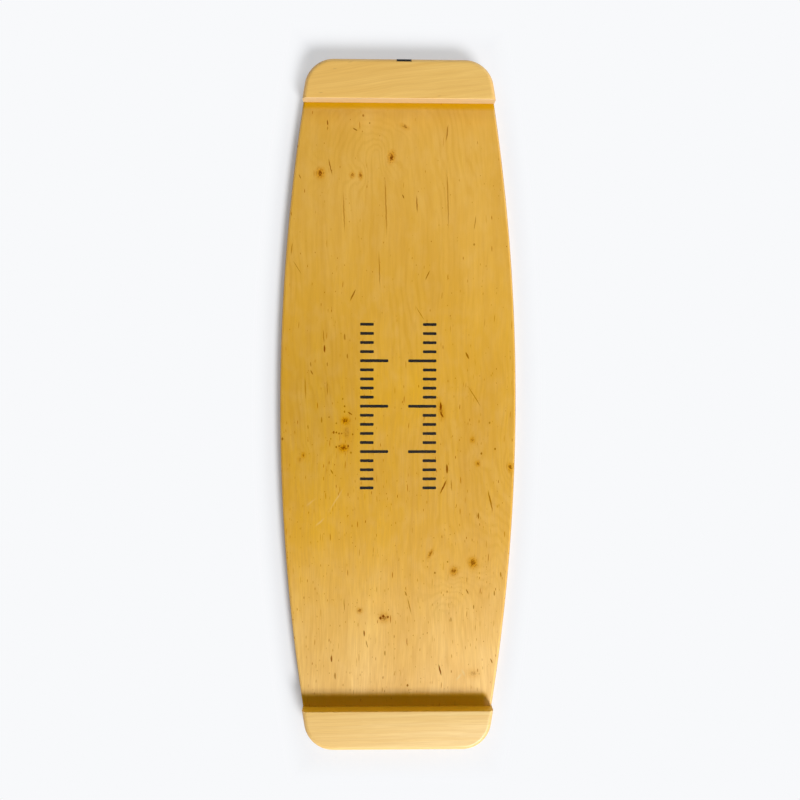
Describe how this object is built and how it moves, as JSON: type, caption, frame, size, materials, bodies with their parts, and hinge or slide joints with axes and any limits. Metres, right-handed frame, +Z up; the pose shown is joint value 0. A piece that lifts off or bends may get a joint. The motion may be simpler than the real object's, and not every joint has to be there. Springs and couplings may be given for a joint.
{
  "type": "balance board",
  "caption": "Barrel-sided plywood balance board with a raised wooden stop across each end, so that a loose roller can run along its face between the stops.",
  "frame": {"origin": "centre of the riding face, on the surface that the board lies on", "axes": "+Y along the board towards the end with the tag, +Z up from the riding face to the stops, +X across the board"},
  "size_m": [0.26, 0.75, 0.035],
  "materials": {
    "face_veneer": "honey-coloured birch veneer under satin lacquer",
    "long_ply": "birch ply with its grain along the board, lacquered where its edge shows",
    "cross_ply": "birch ply with its grain across the board, darker end grain along the sides",
    "stop_wood": "pale solid wood under satin lacquer",
    "screw_steel": "zinc-plated",
    "tag_cloth": "plain black woven tape"
  },
  "bodies": {
    "root": {"riding_face_veneer": "face_veneer", "core_ply_1": "cross_ply", "core_ply_2": "long_ply", "core_ply_3": "cross_ply", "core_ply_4": "long_ply", "core_ply_5": "cross_ply", "core_ply_6": "long_ply", "core_ply_7": "cross_ply", "core_ply_8": "long_ply", "core_ply_9": "cross_ply", "roller_face_veneer": "face_veneer", "tag_end_stop": "stop_wood", "plain_end_stop": "stop_wood", "tag_end_screws": "screw_steel", "plain_end_screws": "screw_steel", "end_tag": "tag_cloth"}
  },
  "joints": []
}
